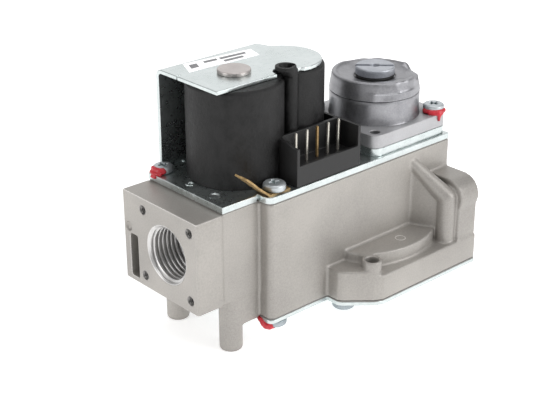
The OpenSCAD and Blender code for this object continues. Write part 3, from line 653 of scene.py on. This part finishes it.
def regulator():
    """The cup is turned only where it faces the connector; elsewhere it is left as cast, with a tall
    hump on two sides and a low rim at the back."""
    base = FOOT_TOP
    lift = 45.4

    def h(z):
        return z - lift

    outline = [(16.2, h(44.6)), (17.35, h(45.3)), (17.05, h(45.9)), (17.0, h(47)), (17.0, h(50)),
               (17.0, h(53)), (17.0, h(54.35)), (16.9, h(54.5)), (16.62, h(54.6)), (16.62, h(54.75)),
               (17.0, h(54.9)), (17.1, h(55.05)), (17.0, h(55.8)), (16.82, h(57)), (16.78, h(57.4)),
               (16.7, h(57.7)), (16.55, h(58.6)), (16.35, h(59.8)), (16.2, h(60.8)), (16.05, h(61.1)),
               (15.75, h(61.35)), (15.3, h(61.5)), (14.9, h(61.5)), (14.6, h(61.35)), (14.2, h(60.95)),
               (13.6, h(60.6)), (12.4, h(60.3)), (11, h(60.0)), (9.6, h(59.75)), (8.6, h(59.6)),
               (7.9, h(59.55)), (7.7, h(59.4)), (7.6, h(59.2)), (6.9, h(59.2)), (6.05, h(59.2)),
               (6.02, h(58.9)), (6.02, h(50)), (8.0, h(49)), (15.0, h(45)), (16.2, h(44.6))]
    groove_top = h(54.9)
    step = h(57.5)
    cap_seat = 8.2

    def shape(r, z, a):
        deg = math.degrees(a)
        right = window(deg, 318, 362, 20)
        left = window(deg, 100, 172, 20)
        back = window(deg, 30, 72, 14)
        if z < groove_top or r < cap_seat:
            return r, z
        grain = noise.noise(Vector((3 * math.cos(a) * r / 10, 3 * math.sin(a) * r / 10, z * 0.35)))
        raw = max(right, left, back)
        outer = smoothstep(r, 12.5, 15.2)
        r2, z2 = r, z
        if z < step:
            r2 += outer * (0.5 * right + 0.35 * left)
        else:
            r2 += outer * (0.2 * right - 0.2 * left * smoothstep(z, step, h(61.4)) * 4)
        top = smoothstep(z, step, h(60.8))
        z2 += top * outer * (0.05 * right - 0.15 * left - 2.0 * back)
        z2 += (1 - outer) * smoothstep(r, cap_seat, 12) * (0.7 * right + 0.55 * left - 0.4 * back)
        return r2 + raw * grain * 0.28 * outer, min(z2 + raw * grain * 0.22 * top, h(61.5))

    cup = turned("regulator_cup", outline, 200, Vector((REG.x, REG.y, base)), UP, "regulator_cast",
                 lambda r, z, a: shape(r, z, a - math.pi / 2), loop=True, angle=40)
    foot = welded_copy("regulator_housing", "regulator_foot")
    bm = bmesh.new()
    bm.from_mesh(foot.data)
    cut = bmesh.ops.bisect_plane(bm, geom=bm.verts[:] + bm.edges[:] + bm.faces[:], dist=1e-7,
                                 plane_co=(0, 0, FOOT_TOP - 0.001 * MM), plane_no=UP, clear_outer=True)
    rim = [g for g in cut["geom_cut"] if isinstance(g, bmesh.types.BMEdge)]
    bmesh.ops.triangle_fill(bm, edges=rim, use_beauty=True, use_dissolve=True)
    bmesh.ops.recalc_face_normals(bm, faces=bm.faces)
    bm.to_mesh(foot.data)
    bm.free()
    modify(foot, "BEVEL", width=0.35 * MM, segments=3, limit_method="ANGLE",
           angle_limit=math.radians(40), use_clamp_overlap=False)
    apply_modifiers(foot)
    finish_piece(foot, "regulator_cast", mat=CAST_PALE, angle=50)
    modify(foot, "WEIGHTED_NORMAL", keep_sharp=True, weight=80)
    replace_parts(cup, "regulator_housing")


# ---------------------------------------------------------------- connector, label, earth strip


def blades():
    """Five tinned or brass blades, each a little out of true."""
    half_thick = 0.4
    depth = high("earth_blade").y - low("earth_blade").y
    front = low("earth_blade").y
    foot = low("earth_blade").z
    tip = high("earth_blade").z
    middle = axis_of("earth_blade").x
    pitch = 5.08 * MM
    lean = {-2: 0.0, -1: 0.3, 0: 0.1, 1: 0.5, 2: 0.45}
    shown = {}
    for i, shift in lean.items():
        x = middle + i * pitch
        rings = []
        for z, thin in ((foot, 1.0), (foot + 0.45 * (tip - foot), 1.0), (tip - 1.0 * MM, 1.0),
                        (tip - 0.45 * MM, 0.9), (tip - 0.12 * MM, 0.65), (tip, 0.35)):
            off = shift * MM * max(0.0, (z - foot) / (tip - foot) - 0.3)
            t = half_thick * thin * MM
            w = depth / 2 * (0.55 + 0.45 * thin)
            cy = front + depth / 2
            ring = [Vector((x + off + sx * t, cy + sy * w, z))
                    for sx, sy in ((-1, -0.8), (-0.7, -1), (0.7, -1), (1, -0.8), (1, 0.8), (0.7, 1), (-0.7, 1),
                                   (-1, 0.8))]
            rings.append(ring)
        shown[i] = skin("blade_%d" % (i + 3), rings, "brass" if i == 0 else "tinned_blade", angle=40)
    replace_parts(shown[-2], "connector_blades")
    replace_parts(shown[0], "earth_blade")


def crumpled(co):
    """Small dents and a wavy edge for the thin earth strip."""
    wave = noise.noise_vector(co * 260) * 0.00022 + noise.noise_vector(co * 800) * 0.00008
    wave.z *= 0.6 if co.z < PLATE_TOP + 1.2 * MM else 1.2
    return co + wave


def earth_strip():
    ob = welded_copy("earth_tab", "earth_strip")
    bm = bmesh.new()
    bm.from_mesh(ob.data)
    bmesh.ops.triangulate(bm, faces=bm.faces)
    for _ in range(3):
        long_edges = [e for e in bm.edges if e.calc_length() > 0.7 * MM]
        bmesh.ops.subdivide_edges(bm, edges=long_edges, cuts=1, use_grid_fill=False)
        bmesh.ops.triangulate(bm, faces=bm.faces)
    for v in bm.verts:
        v.co = crumpled(v.co)
    bm.to_mesh(ob.data)
    bm.free()
    finish_piece(ob, "brass", angle=40)
    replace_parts(ob, "earth_tab")


def label():
    """A plain label with grey bars where print would be."""
    z = YOKE_TOP
    sheet = NODES["sticker"].data.vertices
    corners = {}
    for name, key in (("a", lambda c: c.x + c.y), ("c", lambda c: -c.x - c.y),
                      ("b", lambda c: c.y - c.x), ("d", lambda c: c.x - c.y)):
        corners[name] = min((v.co for v in sheet), key=key)
    near_left, far_right = corners["a"], corners["c"]
    near_right, far_left = corners["b"], corners["d"]

    def spot(u, v, lift):
        p = (near_left * (1 - u) * (1 - v) + near_right * u * (1 - v) + far_left * (1 - u) * v
             + far_right * u * v)
        wave = 0.05 * math.sin(6 * u) * math.sin(3 * v + 1)
        return Vector((p.x, p.y, z + (lift + max(0.0, wave)) * MM))

    def patch(name, u0, v0, u1, v1, low_lift, high_lift, slot, mat=None, replaces=None):
        nu, nv = 24, 6
        top = [[spot(u0 + (u1 - u0) * i / nu, v0 + (v1 - v0) * j / nv, high_lift) for j in range(nv + 1)]
               for i in range(nu + 1)]
        bottom = [[spot(u0 + (u1 - u0) * i / nu, v0 + (v1 - v0) * j / nv, low_lift) for j in range(nv + 1)]
                  for i in range(nu + 1)]
        rings = [t + list(reversed(b)) for t, b in zip(top, bottom)]
        ob = skin(name, rings, slot, mat=mat, angle=30)
        if replaces:
            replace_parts(ob, replaces)

    patch("label", 0, 0, 1, 1, 0.0, 0.1, "sticker", None, "sticker")
    bars = [(0.06, 0.30, 0.17, 0.74), (0.27, 0.56, 0.46, 0.80), (0.50, 0.56, 0.88, 0.80),
            (0.52, 0.18, 0.80, 0.42)]
    for i, (u0, v0, u1, v1) in enumerate(bars):
        patch("label_bar_%d" % (i + 1), u0, v0, u1, v1, 0.08, 0.115, "sticker", INK)


# ---------------------------------------------------------------- stage and light


def add_stage():
    bpy.ops.mesh.primitive_plane_add(size=8, location=(0.05, 0, low("valve_body").z))
    floor = bpy.context.object
    floor.name = "floor"
    mat = bpy.data.materials.new("floor")
    mat.use_nodes = True
    shader = mat.node_tree.nodes["Principled BSDF"]
    shader.inputs["Base Color"].default_value = (0.90, 0.90, 0.90, 1)
    shader.inputs["Roughness"].default_value = 0.9
    shader.inputs["Specular IOR Level"].default_value = 0.1
    shader.inputs["Emission Color"].default_value = (1, 1, 1, 1)
    shader.inputs["Emission Strength"].default_value = 0.56
    floor.data.materials.append(mat)


def add_area(name, at, size, power):
    light = bpy.data.lights.new(name, "AREA")
    light.shape = "RECTANGLE"
    light.size, light.size_y = size
    light.energy = power
    ob = bpy.data.objects.new(name, light)
    bpy.context.collection.objects.link(ob)
    ob.location = at
    target = Vector((0.06, 0.0, 0.0))
    ob.rotation_euler = (target - Vector(at)).to_track_quat("-Z", "Y").to_euler()


def add_light():
    world = bpy.data.worlds.new("world")
    bpy.context.scene.world = world
    world.use_nodes = True
    world.node_tree.nodes["Background"].inputs["Color"].default_value = (1, 1, 1, 1)
    world.node_tree.nodes["Background"].inputs["Strength"].default_value = 0.42
    add_area("key", (0.45, -0.85, 0.45), (0.5, 0.6), 4.2)
    add_area("top", (0.1, -0.1, 1.1), (0.8, 0.8), 3)
    add_area("back", (0.75, 0.75, 0.55), (1.2, 0.9), 2.3)
    add_area("left", (-0.95, 0.25, 0.35), (0.5, 0.9), 3.2)
    bpy.context.scene.view_settings.view_transform = "Standard"


casting()
threads()
casting_marks()
plate_marks()
screws()
lacquer()
regulator()
blades()
earth_strip()
label()
for part, width in (("base_plate", 0.25), ("yoke_bracket", 0.3), ("regulator_spacer", 0.25),
                    ("bottom_cover", 0.2), ("coil_housing", 0.25), ("connector_housing", 0.22),
                    ("guide_post", 0.15), ("core_1", 0.25)):
    softened(part, width)
softened("regulator_cap", 0.25, mat=CAP_FINISH)
add_camera()
add_stage()
add_light()
